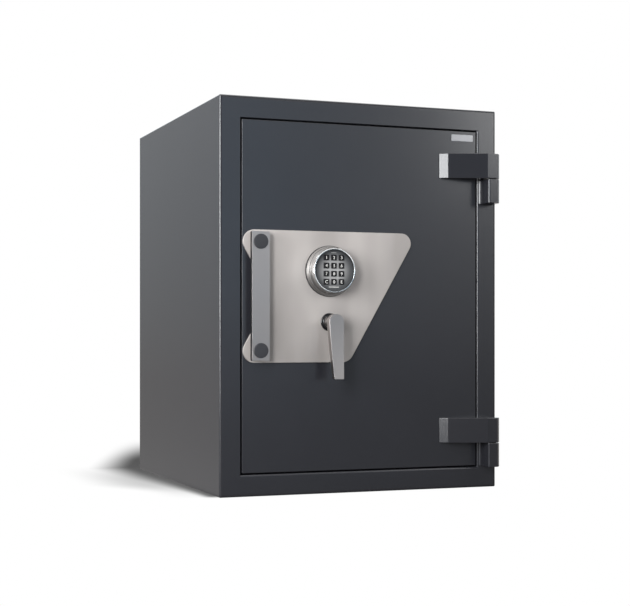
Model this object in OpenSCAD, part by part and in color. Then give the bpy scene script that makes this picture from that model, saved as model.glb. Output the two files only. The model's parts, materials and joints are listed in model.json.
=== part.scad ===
// Compact composite safe: welded plate body, hinged composite door, lever-driven boltwork,
// keypad lock and pull bar. Millimetres. X is to the right, Y goes into the safe, Z is up.
// The origin is on the floor at the centre of the footprint.

/* [Body] */
// Outer width
body_w = 614; // [560:1:700]
// Outer height
body_h = 800; // [740:1:900]
// Outer depth without the hinges and handles
body_d = 660; // [600:1:760]
// Radius of the long outer edges
edge_r = 3; // [1:0.5:5]
// Thickness of the side and top plates
plate_t = 6; // [4:0.5:10]
// Thickness of the base and back plates
base_t = 8; // [5:0.5:12]
// Width of the frame that shows around the door
frame_w = 44; // [38:1:54]
// Depth of the frame bars
frame_t = 62; // [58:0.5:66]
// Thickness of the whole wall, from outside to liner
wall_t = 82; // [78:1:100]
// Thickness of the liner sheets
liner_t = 3; // [2:0.5:4]
// Width of the bolt channel behind the frame
channel_w = 24; // [22:1:28]
// Gap between liner sheets of one set
sheet_gap = 0.2; // [0.1:0.05:0.5]

/* [Door] */
// Gap around the door plate
door_gap = 4; // [3:0.5:6]
// Thickness of the front plate
door_t = 13; // [10:0.5:16]
// How far the door reaches behind the back of the frame
door_full_t = 42; // [41:0.5:46]
// Gap between the back of the door and the stop plates
stop_gap = 8; // [6:0.5:10]
// Gap between the pan and the frame on the lock side
pan_gap_lock = 17; // [16:0.5:20]
// Gap between the pan and the frame on the hinge side
pan_gap_hinge = 10; // [8:0.5:12]
// Gap between the pan and the frame at top and bottom
pan_gap_z = 14; // [10:0.5:20]
// Sheet thickness of the pan
pan_t = 3; // [2:0.5:4]
// Thickness of the barrier slab
slab_t = 40; // [36:0.5:42]
// Thickness of the bolt chassis plate
chassis_t = 5; // [4:0.5:6]
// Sheet thickness of the back cover
cover_t = 2; // [1.5:0.5:3]
// Thickness of the hard plate
hard_t = 6; // [4:0.5:8]
// Width of the hard plate
hard_w = 120; // [110:1:140]
// Height of the hard plate
hard_h = 190; // [180:1:220]
// Reach of the dead bar past the frame edge
dead_reach = 14; // [10:0.5:16]
// Length of the dead bar
dead_len = 560; // [400:5:640]
// Gap between the frame and the dead bar
dead_gap = 4; // [4:0.5:6]
// Depth of the dead bar
dead_t = 26; // [20:0.5:28]
// Width of the seal strip
seal_w = 12; // [8:0.5:16]
// Distance of the seal from the opening of the liner
seal_in = 2; // [1:0.5:4]

/* [Hinges] */
// Distance of the pin axis from the right side of the body
pin_x = 26; // [24:0.5:30]
// Distance of the pin axis in front of the frame
pin_out = 22; // [21.5:0.25:24]
// Radius of the hinge pins
pin_r = 8; // [6:0.25:10]
// Gap between the round end of a knuckle and the frame
knuckle_gap = 1.5; // [1:0.25:2.5]
// How far the hinges stand out
hinge_out = 40; // [37:0.5:41]
// Left end of a strap, measured from the pin axis
strap_x = 107; // [90:1:130]
// Width of the bevel at the left end of a strap
strap_bevel_w = 15.6; // [12:0.2:20]
// Height of the bevel at the left end of a strap
strap_bevel_t = 11; // [8:0.5:14]
// Where the sloping front of a strap becomes flat, measured from the pin axis
strap_ridge_x = 13; // [6:0.5:20]
// Height of a strap
strap_h = 52; // [44:0.5:60]
// Height of a hinge block
block_h = 50; // [44:0.5:60]
// Left face of a hinge block, measured from the pin axis
block_x = 11; // [9:0.5:13]
// Underside of the upper strap, measured down from the top
strap_z_hi = 148; // [110:1:200]
// Underside of the lower strap, measured up from the floor
strap_z_lo = 96.8; // [96:0.2:160]
// Gap between a strap and its block
hinge_gap = 1.2; // [1:0.1:2]
// Play above a thrust bearing
bearing_play = 0.1; // [0.05:0.05:0.3]
// Radius of the thrust bearings
bearing_r = 14; // [12:0.5:18]
// Depth of the blind pin holes
pin_hole = 43; // [38:0.5:46]
// Gap between the end of a pin and its hole
pin_end_gap = 0.5; // [0.2:0.1:2]

/* [Escutcheon] */
// Thickness of the escutcheon plate
esc_t = 3; // [2:0.5:4]
// Height of the escutcheon plate
esc_h = 266.5; // [256:0.5:276]
// Middle of the escutcheon plate above the middle of the door
esc_z = 0.3; // [-20:0.1:20]
// Upper right corner before rounding, measured from the edge of the door
esc_right = 382; // [370:1:400]
// How far the left tips before rounding reach past the edge of the door
esc_left = 17.5; // [10:0.5:18.5]
// Slant of the right edge and the notch from upright
esc_slant = 30; // [27:0.5:32]
// Bottom of the notch, measured from the edge of the door
esc_notch_x = 48; // [45:0.5:53]
// Corner radius of the left tips
esc_tip_r = 24; // [22:0.5:26]
// Corner radius at the upper right
esc_top_r = 21; // [18:0.5:24]
// Corner radius at the lower right
esc_low_r = 27; // [22:0.5:30]

/* [Pull bar] */
// Middle of the pull bar, measured from the edge of the door
bar_x = 31; // [28:0.5:34]
// Width of the pull bar
bar_w = 37; // [34:0.5:40]
// Length of the pull bar
bar_len = 257; // [240:1:266]
// Thickness of the pull bar
bar_t = 8; // [6:0.5:10]
// Gap between the escutcheon and the pull bar
bar_gap = 12; // [10:0.5:18]
// Distance between the two cap bolts
cap_pitch = 217; // [200:1:224]
// Radius of the cap bolt heads
cap_r = 15; // [12:0.5:16.5]
// Thickness of the cap bolt heads
cap_t = 3; // [2:0.25:5]
// Radius of the cap bolt shanks
shank_r = 5; // [4:0.25:6]
// Depth of the shanks in the door plate
shank_in = 9; // [6:0.5:9.5]
// Gap between the end of a shank and its hole
shank_end_gap = 0.5; // [0.2:0.1:0.8]
// Radius of the standoffs
standoff_r = 11; // [9:0.5:13]

/* [Keypad] */
// Middle of the keypad and of the lever, measured from the edge of the door
lock_x = 184; // [178:0.5:190]
// Height of the keypad above the middle of the escutcheon
keypad_z = 52.2; // [48:0.2:56]
// Outer radius of the keypad
keypad_r = 52; // [50:0.5:54]
// Thickness of the keypad gasket
gasket_t = 2; // [1:0.25:3]
// How far the housing stands out from the gasket
keypad_t = 30; // [28:0.5:33]
// Outer radius of the front lip
lip_r = 45.2; // [44.4:0.2:46]
// Radius of the face
face_r = 42; // [41:0.25:42.5]
// Depth of the face behind the lip
face_in = 6; // [4:0.25:7]
// Thickness of the face
face_t = 4; // [3:0.25:5]
// Step between the gasket and the foot of the housing
skirt_in = 1; // [0.5:0.25:2]
// Width of the bevel above the foot of the housing
skirt_bevel = 2.2; // [1.5:0.1:2.8]
// How far the housing widens below its lip
lip_flare = 0.6; // [0.4:0.1:1]
// Thickness of the back of the housing
pad_wall = 3; // [2:0.25:4]
// Thickness of the circuit board
board_t = 1.6; // [1:0.1:2]
// Radius of a battery cell
cell_r = 5.2; // [4:0.1:5.4]
// Length of a battery cell
cell_len = 44; // [40:0.5:46]
// Distance between the two cells of a pair
cell_pitch = 12; // [11:0.25:13]
// Distance of a pair of cells from the middle of the keypad
cell_out = 20; // [18:0.25:21]
// Side of a key
key_side = 11; // [10:0.25:12]
// Distance between neighbouring keys
key_pitch = 16.3; // [15.6:0.1:17]
// Height of the key field above the middle of the face
key_up = 2; // [0:0.25:3]
// How far a key stands out of the face
key_out = 2; // [1.8:0.1:2.6]
// Gap between a key and its hole
key_gap = 0.3; // [0.2:0.05:0.4]
// Travel of a key
key_travel = 1.2; // [0.8:0.1:1.4]
// Width of the rim that keeps a key in the face
key_rim = 1; // [0.6:0.1:1.2]
// Thickness of the rim that keeps a key in the face
key_rim_t = 1.2; // [0.8:0.1:1.6]
// Radius of the lock cable
cable_r = 2.5; // [1.5:0.25:4]
// Gap around the lock cable
cable_gap = 3; // [1:0.25:4]

/* [Lever] */
// Depth of the lever axis below the middle of the escutcheon
lever_z = 51.3; // [48:0.1:54]
// Length from the axis to the tip
lever_len = 115; // [105:1:125]
// Radius of the round top of the lever
lever_top_r = 16; // [14:0.5:18]
// Half width of the lever at its tip
lever_tip_w = 10.3; // [8:0.1:12]
// Thickness of the lever at its top
lever_t = 14; // [12:0.5:16]
// Thickness of the lever at its tip
lever_tip_t = 10; // [8:0.5:12]
// Corner radius at the tip of the lever
lever_tip_r = 4; // [2:0.25:6]
// How far the lever stands out at its top
lever_out = 45; // [42:0.5:48]
// How far the lever leans out to its tip
lever_lean = 15; // [10:0.5:18]
// Radius of the neck
neck_r = 13; // [12:0.25:14]
// Radius of the spindle
spindle_r = 9; // [7:0.25:10]
// Distance of the spindle socket from the middle of the lever
socket_wall = 2; // [1:0.25:4]
// Gap between the end of the spindle and its socket
socket_gap = 0.5; // [0.2:0.1:1]
// Clearance around the bush and the spindle in the door
hole_clear = 2; // [1:0.25:3]
// Radius of the flange of the bush
bush_flange_r = 20.5; // [19:0.25:22]
// Radius of the bush in the door plate
bush_r = 12.5; // [11.5:0.25:14]
// Thickness of the flange of the bush
bush_flange_t = 3; // [2:0.25:4]
// Radius of the collar on the bush
collar_r = 18; // [16:0.25:18.75]
// Thickness of the collar on the bush
collar_t = 3; // [2:0.25:4]

/* [Boltwork] */
// Radius of the locking bolts
bolt_r = 16; // [12:0.5:17]
// Depth of the bolt axes behind the back of the frame
bolt_depth = 18; // [17.5:0.5:19]
// Throw of the bolts for a quarter turn of the lever
bolt_throw = 33; // [30:0.5:34]
// Distance between neighbouring bolts
bolt_pitch = 180; // [150:1:190]
// Length of a bolt
bolt_len = 71; // [68:1:74]
// How far the tips stand out of the pan when drawn back
bolt_proud = 1; // [0:0.25:2]
// Chamfer of the bolt tips
bolt_cham = 2; // [1:0.25:4]
// Thickness of the bolt bar
bolt_bar_t = 12; // [10:0.5:14]
// Width of the bolt bar
bolt_bar_w = 28; // [24:0.5:30]
// How far the bolt bar reaches past the outer bolts
bolt_bar_end = 14; // [8:0.5:16]
// Length of a bolt guide
guide_len = 25; // [20:0.5:26]
// Wall around a bolt in its guide
guide_wall = 8; // [6:0.5:12]
// Wall of a guide behind its bolt
guide_back = 4; // [2:0.25:5]
// Thickness of the yoke arm
yoke_t = 10; // [8:0.5:10]
// Height of the yoke arm
yoke_h = 44; // [42:0.5:46]
// Width of the metal around the slot of the yoke
yoke_web = 10; // [8:0.5:11]
// Radius of the cam pin
cam_pin_r = 6; // [5:0.25:7]
// Width of the rim of the cam outside its pin
cam_rim = 3; // [2:0.25:4]
// Side clearance of the cam pin in its slot
cam_slot_gap = 1; // [0.9:0.05:1.2]
// Thickness of the cam
cam_t = 10; // [8:0.5:10]
// Gap between the cam and the yoke arm
cam_gap = 3; // [2:0.25:4]

/* [Lock] */
// Width of the lock case
case_w = 66; // [62:1:72]
// Height of the lock case
case_h = 85; // [78:1:92]
// Depth of the lock case
case_t = 32; // [30:0.5:34]
// Radius of the tongue
tongue_r = 24; // [22:0.25:25]
// Distance of the flat of the tongue from its pivot
tongue_flat = 12; // [11:0.25:13]
// Thickness of the tongue
tongue_t = 14; // [12:0.5:16]
// Gap between the lock case and the tongue
tongue_gap = 0.5; // [0.4:0.1:0.8]
// Gap around the tongue in the lock case
tongue_side = 1; // [0.5:0.25:1.5]
// Radius of the pivot pin of the tongue
pivot_r = 5; // [4:0.25:6]
// Wall of the lock case over the end of the pivot pin
pivot_wall = 3; // [2:0.25:5]
// Gap between the end of the pivot pin and its hole
pivot_play = 1; // [0.5:0.25:2]
// Height of the tongue pivot above the lever axis
pivot_up = 83.5; // [82:0.5:86]
// Gap between the flat of the tongue and the lug below it
lug_gap = 5; // [4.5:0.25:6]
// Distance of the lug from the pivot when the bolts are thrown
lug_in = 18.5; // [17.5:0.25:21]
// Width of the lug
lug_w = 26; // [20:0.5:30]
// Radius of the relocker pin
relock_r = 6; // [5:0.25:7]
// Travel of the relocker pin
relock_travel = 10; // [8:0.5:11]
// Gap between the relocker pin and the yoke arm
relock_gap = 2; // [1.5:0.25:3]
// Distance of the relocker left of the lever axis
relock_left = 55; // [52:0.5:58]
// Length of the relocker pin
relock_len = 46; // [40:1:54]
// Wall around the relocker pin
relock_wall = 9; // [7:0.25:11]
// How far the relocker pin stands out of its case
relock_top = 2; // [1:0.25:4]
// Side clearance of the relocker pin in its notches
relock_side = 1; // [0.6:0.1:2]
// Gap between the foot of the relocker pin and its case
relock_play = 1; // [0.5:0.25:2]
// Thickness of the case below the relocker pin
relock_foot = 5; // [3:0.25:8]

/* [Interior] */
// Height of the shelf above the inside floor
shelf_z = 316; // [120:1:480]
// Sheet thickness of the shelf
shelf_t = 2; // [1.5:0.5:3]
// Height of the folded lip of the shelf
shelf_lip = 18; // [12:1:30]
// Distance of the shelf from the stop plates
shelf_front = 30; // [20:1:60]
// Distance of the shelf from the back
shelf_back = 20; // [10:1:40]
// Gap between the shelf and the rails
shelf_side_gap = 2; // [1:0.5:5]
// Width of a shelf rail
rail_w = 20; // [16:1:26]
// Thickness of a shelf rail
rail_t = 4; // [3:0.5:5]
// Distance between neighbouring slots of a rail
rail_pitch = 40; // [30:1:60]
// Distance of the ends of a rail from floor and ceiling
rail_end = 30; // [20:1:50]
// Distance of the rails from the front and the back of the liner
rail_in = 70; // [55:1:100]
// Width of a slot of a rail
rail_slot_w = 4; // [2:0.5:6]
// Height of a slot of a rail
rail_slot_h = 14; // [10:0.5:20]
// Distance of the first slot from the end of a rail
rail_first = 20; // [10:1:40]
// Thickness of a clip
clip_t = 2; // [1.5:0.5:3]
// Width of a clip under the shelf
clip_w = 18; // [12:1:24]
// Height of a clip
clip_h = 24; // [18:1:32]
// How much narrower a clip is than its rail on each side
clip_in = 2; // [1:0.5:4]
// Width of the anchor sleeve bore
anchor_bore_r = 9; // [7:0.5:10]
// Depth of the anchor sleeve behind the front
anchor_d = 440; // [300:5:520]
// Outer radius of the anchor sleeve
anchor_sleeve_r = 13; // [12:0.5:14]
// Clearance in the filling around the anchor sleeve
anchor_clear = 2; // [1:0.5:6]

/* [Fits] */
// Radial clearance of a part that turns or slides on another
fit_run = 0.06; // [0.02:0.01:0.1]
// Radial clearance of a part that is pressed into another
fit_press = 0.02; // [0.01:0.01:0.05]
// Clearance of a loose part in its hole
fit_loose = 0.4; // [0.3:0.1:0.8]

/* [Hidden] */
$fn = 64;
KEYS = ["1", "2", "3", "4", "5", "6", "7", "8", "9", "clear", "0", "enter"];
// How far a cut runs past the face it opens
over = 1;
// Steps of a rounded corner of the escutcheon
arc_steps = 14;

front_y = -body_d / 2;
half_w = body_w / 2;
open_x = half_w - frame_w;
open_z0 = frame_w;
open_z1 = body_h - frame_w;
plate_x = open_x - door_gap;
plate_z0 = open_z0 + door_gap;
plate_z1 = open_z1 - door_gap;
door_back = frame_t + door_full_t;
stop_d = door_back + stop_gap;
in_x = half_w - wall_t;
in_z0 = wall_t;
in_z1 = body_h - wall_t;
in_d1 = body_d - wall_t;
chan_x = open_x + channel_w;
mid_z = body_h / 2;

pan_x0 = -open_x + pan_gap_lock;
pan_x1 = open_x - pan_gap_hinge;
pan_z0 = open_z0 + pan_gap_z;
pan_z1 = open_z1 - pan_gap_z;
slab_d = door_t + slab_t;
chassis_d = slab_d + chassis_t;
cover_d = door_back - cover_t;
bolt_d = frame_t + bolt_depth;

knuckle_r = pin_out - knuckle_gap;
axis_x = -plate_x + lock_x;
bar_mid_x = -plate_x + bar_x;
hinge_x = half_w - pin_x;
strap_end_x = hinge_x - strap_x;
block_left_x = hinge_x - block_x;
strap_zs = [strap_z_lo, body_h - strap_z_hi];
esc_mid_z = mid_z + esc_z;
esc_z0 = esc_mid_z - esc_h / 2;
esc_z1 = esc_mid_z + esc_h / 2;
pad_z = esc_mid_z + keypad_z;
axis_z = esc_mid_z - lever_z;
bar_in = esc_t + bar_gap;
bar_face = bar_in + bar_t;
pad_in = esc_t + gasket_t;
pad_out = pad_in + keypad_t;
face_out = pad_out - face_in;
face_back = face_out - face_t;
key_foot = face_back - key_rim_t - fit_loose;
board_out = key_foot - key_travel - fit_loose;

bush_out = esc_t + bush_flange_t + collar_t;
neck_in = bush_out + fit_loose;
neck_end = lever_out - lever_t / 2;

tip_x = pan_x0 - bolt_proud;
bolt_end_x = tip_x + bolt_len;
bolt_zs = [for (i = [-1.5:1:1.5]) mid_z + i * bolt_pitch];
guide_x0 = pan_x0 + pan_t;
cam_r = bolt_throw / sqrt(2);
cam_pin_x = axis_x + bolt_throw / 2;
cam_pin_z = axis_z + bolt_throw / 2;
yoke_d1 = bolt_d + bolt_bar_w / 2;
yoke_d0 = yoke_d1 - yoke_t;
cam_d1 = yoke_d0 - cam_gap;
cam_d0 = cam_d1 - cam_t;
cam_disc_r = cam_r + cam_pin_r + cam_rim;
slot_z0 = cam_pin_z - cam_pin_r - cam_slot_gap;
slot_z1 = axis_z + cam_r + cam_pin_r + cam_slot_gap;
yoke_z0 = slot_z0 - yoke_web;
yoke_z1 = yoke_z0 + yoke_h;
pivot_z = axis_z + pivot_up;
case_z0 = pivot_z - tongue_flat - tongue_gap;
case_d1 = chassis_d + case_t;
tongue_d0 = chassis_d + case_t / 2 - tongue_t / 2;
lug_z1 = pivot_z - tongue_flat - lug_gap;
lug_x1 = axis_x + bolt_throw - lug_in;
relock_x = axis_x - relock_left;
relock_z1 = yoke_z0 - relock_gap;
anchor_y = front_y + anchor_d;
sleeve_room = anchor_sleeve_r + anchor_clear;
shelf_top = in_z0 + shelf_z;
shelf_x = in_x - rail_t - shelf_side_gap;
rail_ds = [stop_d + rail_in, in_d1 - rail_in];

// Box between two depths behind the front face
module block(x0, x1, d0, d1, z0, z1) {
    translate([x0, front_y + d0, z0])
        cube([x1 - x0, d1 - d0, z1 - z0]);
}

// Round bar along the depth
module rod_y(x, z, d0, d1, r) {
    translate([x, front_y + d0, z])
        rotate([-90, 0, 0])
            cylinder(h = d1 - d0, r = r);
}

// Round bar along the width
module rod_x(x0, x1, d, z, r) {
    translate([x0, front_y + d, z])
        rotate([0, 90, 0])
            cylinder(h = x1 - x0, r = r);
}

// Flat outline in width and height, given a depth
module slab(d0, d1) {
    translate([0, front_y + d1, 0])
        rotate([90, 0, 0])
            linear_extrude(d1 - d0)
                children();
}

// Outline in plan, drawn outwards from the front face
module plan(z0, h) {
    translate([0, front_y, z0])
        linear_extrude(h)
            mirror([0, 1])
                children();
}

// Turned part on an axis along the depth, drawn as radius and distance outwards
module turned(x, z) {
    translate([x, front_y, z])
        rotate([90, 0, 0])
            rotate_extrude()
                children();
}

// Rectangle with round corners
module soft_rect(w, h, r) {
    square([w - 2 * r, h], center = true);
    square([w, h - 2 * r], center = true);
    for (x = [-1, 1], y = [-1, 1])
        translate([x * (w / 2 - r), y * (h / 2 - r)])
            circle(r);
}

// Whole envelope of the body with its soft edges
module body_form() {
    intersection() {
        linear_extrude(body_h)
            soft_rect(body_w, body_d, edge_r);
        translate([0, body_d / 2, mid_z])
            rotate([90, 0, 0])
                linear_extrude(body_d)
                    soft_rect(body_w, body_h, edge_r);
        translate([-half_w, 0, mid_z])
            rotate([90, 0, 90])
                linear_extrude(body_w)
                    soft_rect(body_d, body_h, edge_r);
    }
}

// Upright bars left and right of the door, as high as the body
module frame_side_bars() {
    color("#4b5058")
        for (s = [-1, 1])
            intersection() {
                body_form();
                block(s > 0 ? open_x : -half_w, s > 0 ? half_w : -open_x, 0, frame_t, 0, body_h);
            }
}

// Bars above and below the door
module frame_cross_bars() {
    color("#4b5058")
        for (z = [0, open_z1])
            intersection() {
                body_form();
                block(-open_x, open_x, 0, frame_t, z, z + frame_w);
            }
}

module side_plates() {
    color("#60656c")
        for (s = [-1, 1])
            intersection() {
                body_form();
                block(s > 0 ? half_w - plate_t : -half_w, s > 0 ? half_w : -half_w + plate_t,
                      frame_t, body_d, base_t, body_h - plate_t);
            }
}

module top_plate() {
    color("#60656c")
        intersection() {
            body_form();
            block(-half_w, half_w, frame_t, body_d, body_h - plate_t, body_h);
        }
}

module base_plate() {
    color("#60656c")
        difference() {
            intersection() {
                body_form();
                block(-half_w, half_w, frame_t, body_d, 0, base_t);
            }
            translate([0, anchor_y, -over])
                cylinder(h = base_t + 2 * over, r = anchor_sleeve_r + fit_press);
        }
}

module back_plate() {
    color("#60656c")
        block(-half_w + plate_t, half_w - plate_t, body_d - base_t, body_d, base_t, body_h - plate_t);
}

// Cast filling between the plates and the liner
module body_barrier() {
    color("#9a958c")
        difference() {
            block(-half_w + plate_t, half_w - plate_t, frame_t, body_d - base_t, base_t, body_h - plate_t);
            block(-chan_x - liner_t, chan_x + liner_t, frame_t - over, stop_d + liner_t,
                  open_z0 - liner_t, open_z1 + liner_t);
            block(-in_x - liner_t, in_x + liner_t, stop_d, in_d1 + liner_t, in_z0 - liner_t, in_z1 + liner_t);
            translate([-sleeve_room, anchor_y - sleeve_room, 0])
                cube([2 * sleeve_room, 2 * sleeve_room, in_z0]);
        }
}

// Four sheets that line the channel behind the frame
module channel_plates() {
    color("#5b6066") {
        for (s = [-1, 1])
            block(s > 0 ? chan_x : -chan_x - liner_t, s > 0 ? chan_x + liner_t : -chan_x,
                  frame_t, stop_d + liner_t, open_z0 - liner_t, open_z1 + liner_t);
        for (z = [open_z0 - liner_t, open_z1])
            block(-chan_x + sheet_gap, chan_x - sheet_gap, frame_t, stop_d + liner_t, z, z + liner_t);
    }
}

// Four sheets that close the channel towards the interior
module stop_plates() {
    color("#5b6066") {
        for (s = [-1, 1])
            block(s > 0 ? in_x + liner_t : -chan_x + sheet_gap, s > 0 ? chan_x - sheet_gap : -in_x - liner_t,
                  stop_d, stop_d + liner_t, open_z0 + sheet_gap, open_z1 - sheet_gap);
        block(-in_x - liner_t + sheet_gap, in_x + liner_t - sheet_gap, stop_d, stop_d + liner_t,
              open_z0 + sheet_gap, in_z0 - liner_t);
        block(-in_x - liner_t + sheet_gap, in_x + liner_t - sheet_gap, stop_d, stop_d + liner_t,
              in_z1 + liner_t, open_z1 - sheet_gap);
    }
}

// Side, top and back sheets of the interior
module liner_panels() {
    color("#8b8f94") {
        for (s = [-1, 1])
            block(s > 0 ? in_x : -in_x - liner_t, s > 0 ? in_x + liner_t : -in_x,
                  stop_d + liner_t + sheet_gap, in_d1 + liner_t, in_z0 - liner_t, in_z1 + liner_t);
        block(-in_x + sheet_gap, in_x - sheet_gap, stop_d + liner_t + sheet_gap, in_d1 + liner_t,
              in_z1, in_z1 + liner_t);
        block(-in_x + sheet_gap, in_x - sheet_gap, in_d1, in_d1 + liner_t, in_z0, in_z1 - sheet_gap);
    }
}

module liner_floor() {
    color("#8b8f94")
        difference() {
            block(-in_x, in_x, stop_d + liner_t + sheet_gap, in_d1 + liner_t, in_z0 - liner_t, in_z0);
            translate([0, anchor_y, in_z0 - liner_t - over])
                cylinder(h = liner_t + 2 * over, r = anchor_sleeve_r + fit_press);
        }
}

// Strip around the opening that the back of the door closes on
module door_seal() {
    seal_x = in_x + liner_t + seal_in;
    seal_z0 = in_z0 - liner_t - seal_in;
    seal_z1 = in_z1 + liner_t + seal_in;
    color("#26282b")
        difference() {
            block(-seal_x - seal_w, seal_x + seal_w, door_back + fit_loose, stop_d,
                  seal_z0 - seal_w, seal_z1 + seal_w);
            block(-seal_x, seal_x, door_back - over, stop_d + over, seal_z0, seal_z1);
        }
}

// Tube for an anchor bolt through the floor
module anchor_sleeve() {
    color("#9aa0a6")
        translate([0, anchor_y, 0])
            difference() {
                cylinder(h = in_z0, r = anchor_sleeve_r);
                translate([0, 0, -over])
                    cylinder(h = in_z0 + 2 * over, r = anchor_bore_r);
            }
}

// Round right end that straps and blocks share, in plan
module knuckle_plan() {
    intersection() {
        translate([hinge_x, pin_out])
            circle(knuckle_r);
        translate([hinge_x - 2 * knuckle_r, 0])
            square([4 * knuckle_r, hinge_out]);
    }
}

// Heights of the undersides of the two straps
module at_hinges() {
    for (z = strap_zs)
        translate([0, 0, z])
            children();
}

module hinge_blocks() {
    color("#4b5058")
        at_hinges()
            difference() {
                plan(-hinge_gap - block_h, block_h) {
                    knuckle_plan();
                    translate([block_left_x, 0])
                        square([hinge_x - block_left_x, hinge_out]);
                    translate([hinge_x - over, 0])
                        square([knuckle_r + over, pin_out]);
                }
                translate([hinge_x, front_y - pin_out, -hinge_gap - pin_hole])
                    cylinder(h = pin_hole + over, r = pin_r + fit_press);
            }
}

module hinge_pins() {
    color("#b9bdc2")
        at_hinges()
            translate([hinge_x, front_y - pin_out, -hinge_gap - pin_hole + pin_end_gap])
                cylinder(h = 2 * (pin_hole - pin_end_gap) + hinge_gap, r = pin_r);
}

// Thrust bearing between a strap and its block
module hinge_bearings() {
    color("#8f949a")
        at_hinges()
            translate([hinge_x, front_y - pin_out, -hinge_gap])
                difference() {
                    cylinder(h = hinge_gap - bearing_play, r = bearing_r);
                    translate([0, 0, -over])
                        cylinder(h = hinge_gap + 2 * over, r = pin_r + fit_loose);
                }
}

// Wedge-shaped strap that is welded to the door and carries its knuckle
module hinge_straps() {
    color("#3f444b")
        at_hinges()
            difference() {
                plan(0, strap_h) {
                    knuckle_plan();
                    polygon([
                        [strap_end_x, 0],
                        [strap_end_x + strap_bevel_w, strap_bevel_t],
                        [hinge_x - strap_ridge_x, hinge_out],
                        [hinge_x, hinge_out],
                        [hinge_x, knuckle_gap],
                        [plate_x - knuckle_gap, knuckle_gap],
                        [plate_x - knuckle_gap, 0]
                    ]);
                }
                translate([hinge_x, front_y - pin_out, -over])
                    cylinder(h = pin_hole + over, r = pin_r + fit_run);
            }
}

// Shelf with folded lips at the front and back
module shelf() {
    d0 = stop_d + shelf_front;
    d1 = in_d1 - shelf_back;
    color("#8b8f94") {
        block(-shelf_x, shelf_x, d0, d1, shelf_top, shelf_top + shelf_t);
        block(-shelf_x, shelf_x, d0, d0 + shelf_t, shelf_top - shelf_lip, shelf_top + shelf_t);
        block(-shelf_x, shelf_x, d1 - shelf_t, d1, shelf_top - shelf_lip, shelf_top + shelf_t);
    }
}

// Slotted strips on the side walls that the clips hook into
module shelf_rails() {
    rail_z0 = in_z0 + rail_end;
    rail_z1 = in_z1 - rail_end;
    color("#7d8288")
        for (s = [-1, 1], d = rail_ds)
            difference() {
                block(s > 0 ? in_x - rail_t : -in_x, s > 0 ? in_x : -in_x + rail_t,
                      d - rail_w / 2, d + rail_w / 2, rail_z0, rail_z1);
                for (z = [rail_z0 + rail_first:rail_pitch:rail_z1 - rail_first - rail_slot_h])
                    translate([s * (in_x - rail_t / 2), front_y + d, z + rail_slot_h / 2])
                        cube([rail_t + 2 * over, rail_slot_w, rail_slot_h], center = true);
            }
}

// Angle clips under the shelf
module shelf_clips() {
    rail_x = in_x - rail_t;
    half = rail_w / 2 - clip_in;
    color("#b9bdc2")
        for (s = [-1, 1], d = rail_ds) {
            block(s > 0 ? rail_x - clip_w : -rail_x, s > 0 ? rail_x : clip_w - rail_x,
                  d - half, d + half, shelf_top - clip_t, shelf_top);
            block(s > 0 ? rail_x - clip_t : -rail_x, s > 0 ? rail_x : clip_t - rail_x,
                  d - half, d + half, shelf_top - clip_h, shelf_top);
        }
}

// Heights of the two cap bolts of the pull bar
function cap_zs() = [esc_mid_z - cap_pitch / 2, esc_mid_z + cap_pitch / 2];

module door_plate() {
    color("#4b5058")
        difference() {
            block(-plate_x, plate_x, 0, door_t, plate_z0, plate_z1);
            rod_y(axis_x, axis_z, -over, door_t + over, bush_r + fit_press);
            rod_y(axis_x, pad_z, -over, door_t + over, cable_r + cable_gap);
            for (z = cap_zs())
                rod_y(bar_mid_x, z, -over, shank_in + shank_end_gap, shank_r + fit_press);
        }
}

// Cast slab behind the front plate, with a pocket for the hard plate
module door_barrier() {
    color("#9a958c")
        difference() {
            block(pan_x0 + pan_t, pan_x1 - pan_t, door_t, slab_d, pan_z0 + pan_t, pan_z1 - pan_t);
            block(axis_x - hard_w / 2, axis_x + hard_w / 2, slab_d - hard_t, slab_d + over,
                  esc_mid_z - hard_h / 2, esc_mid_z + hard_h / 2);
            rod_y(axis_x, axis_z, door_t - over, slab_d + over, bush_r + hole_clear);
            rod_y(axis_x, pad_z, door_t - over, slab_d + over, cable_r + cable_gap);
        }
}

// Steel wall around the back of the door with holes for the bolts
module door_pan() {
    color("#565b62")
        difference() {
            block(pan_x0, pan_x1, door_t, cover_d, pan_z0, pan_z1);
            block(pan_x0 + pan_t, pan_x1 - pan_t, door_t - over, cover_d + over,
                  pan_z0 + pan_t, pan_z1 - pan_t);
            for (z = bolt_zs)
                rod_x(pan_x0 - over, pan_x0 + pan_t + over, bolt_d, z, bolt_r + fit_loose);
        }
}

// Plate that carries the boltwork
module bolt_chassis() {
    color("#8f9297")
        difference() {
            block(pan_x0 + pan_t, pan_x1 - pan_t, slab_d, chassis_d, pan_z0 + pan_t, pan_z1 - pan_t);
            rod_y(axis_x, axis_z, slab_d - over, chassis_d + over, spindle_r + hole_clear);
            rod_y(axis_x, pad_z, slab_d - over, chassis_d + over, cable_r + cable_gap);
        }
}

module hard_plate() {
    color("#6b6257")
        difference() {
            block(axis_x - hard_w / 2, axis_x + hard_w / 2, slab_d - hard_t, slab_d,
                  esc_mid_z - hard_h / 2, esc_mid_z + hard_h / 2);
            rod_y(axis_x, axis_z, slab_d - hard_t - over, slab_d + over, spindle_r + hole_clear);
            rod_y(axis_x, pad_z, slab_d - hard_t - over, slab_d + over, cable_r + cable_gap);
        }
}

module door_cover() {
    color("#565b62")
        block(pan_x0, pan_x1, cover_d, door_back, pan_z0, pan_z1);
}

// Fixed bar on the hinge side that stands behind the frame
module dead_bar() {
    color("#b9bdc2")
        block(pan_x1, open_x + dead_reach, frame_t + dead_gap, frame_t + dead_gap + dead_t,
              mid_z - dead_len / 2, mid_z + dead_len / 2);
}

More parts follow.
